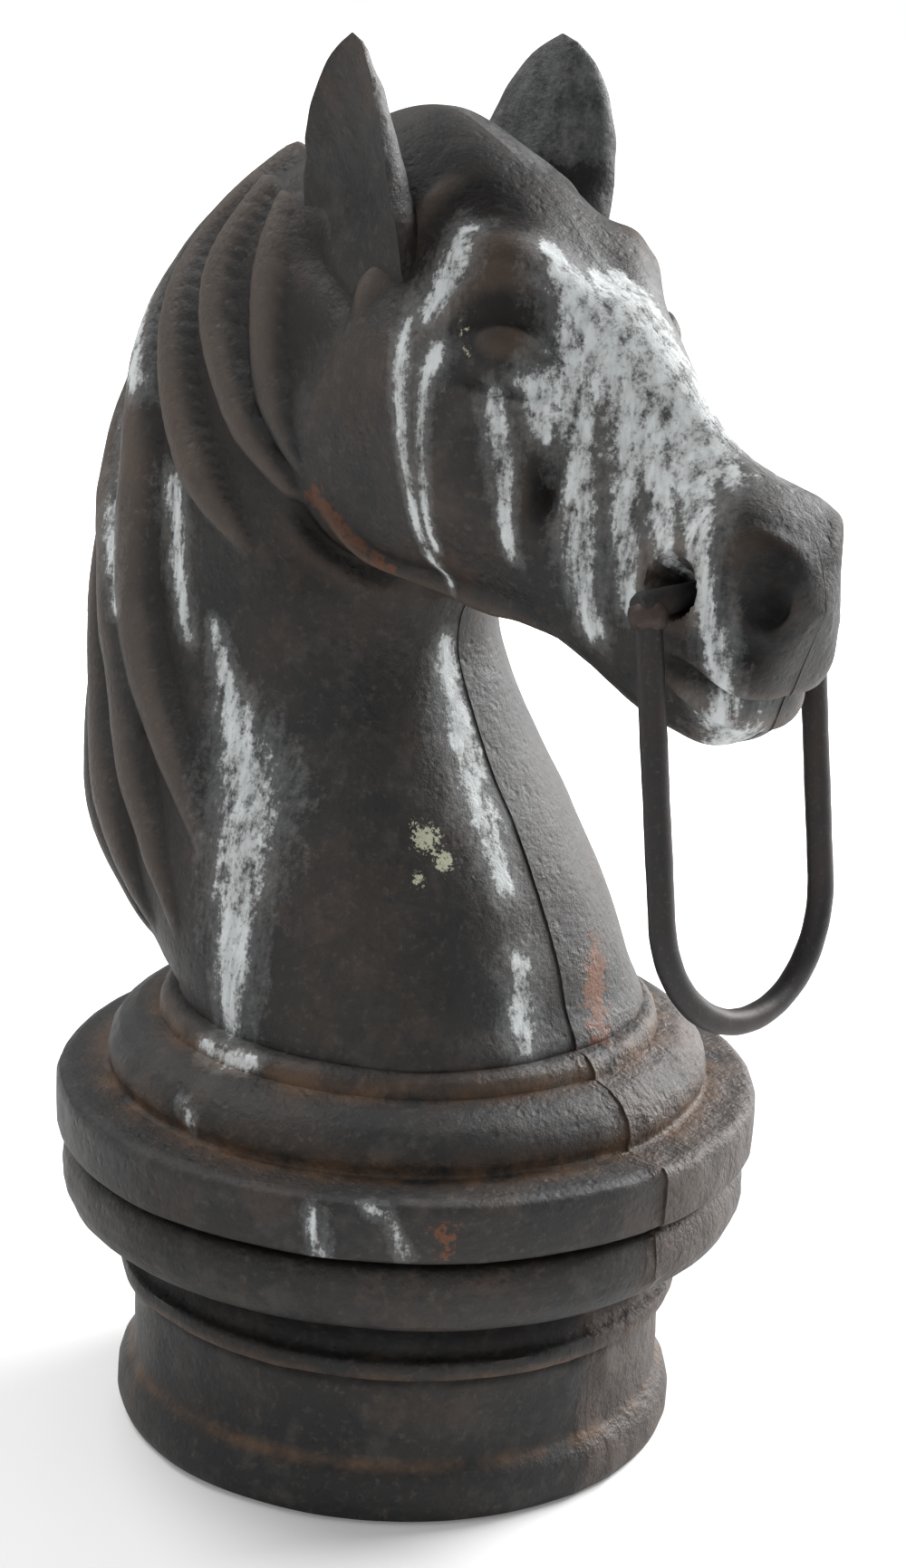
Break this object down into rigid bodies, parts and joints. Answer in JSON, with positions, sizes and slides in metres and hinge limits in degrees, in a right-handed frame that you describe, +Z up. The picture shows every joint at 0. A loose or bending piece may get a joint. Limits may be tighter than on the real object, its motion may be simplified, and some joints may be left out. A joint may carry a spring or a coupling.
{
  "type": "horse head hitching post head",
  "caption": "Hollow cast iron horse head on a round moulded base with a post socket, and a swinging steel bail hung from a bar through the mouth.",
  "frame": {"origin": "centre of the post socket at the foot's lower face", "axes": "+Z up along the socket, the horse looks along -Y, its right side is -X"},
  "size_m": [0.1874, 0.2395, 0.367],
  "materials": {
    "weathered_iron": "worn black paint over sand-cast iron, with lime streaks, rust and lichen",
    "fastener_steel": "dull, lightly rusted",
    "rusted_bar": "drawn round bar, brown oxide",
    "weld_metal": "rough weld bead"
  },
  "bodies": {
    "casting": {"right_half_casting": "weathered_iron", "left_half_casting": "weathered_iron", "tie_bolts": "fastener_steel", "tie_washers": "fastener_steel", "tie_nuts": "fastener_steel"},
    "bail": {"mouth_bar": "rusted_bar", "bail_bow": "rusted_bar", "bail_welds": "weld_metal"}
  },
  "joints": [
    {"name": "bail_swing", "type": "hinge", "parent": "casting", "child": "bail", "pos_m": [0, -0.101, 0.2466], "axis": [-1, 0, 0], "range_deg": [-33, 177]}
  ]
}
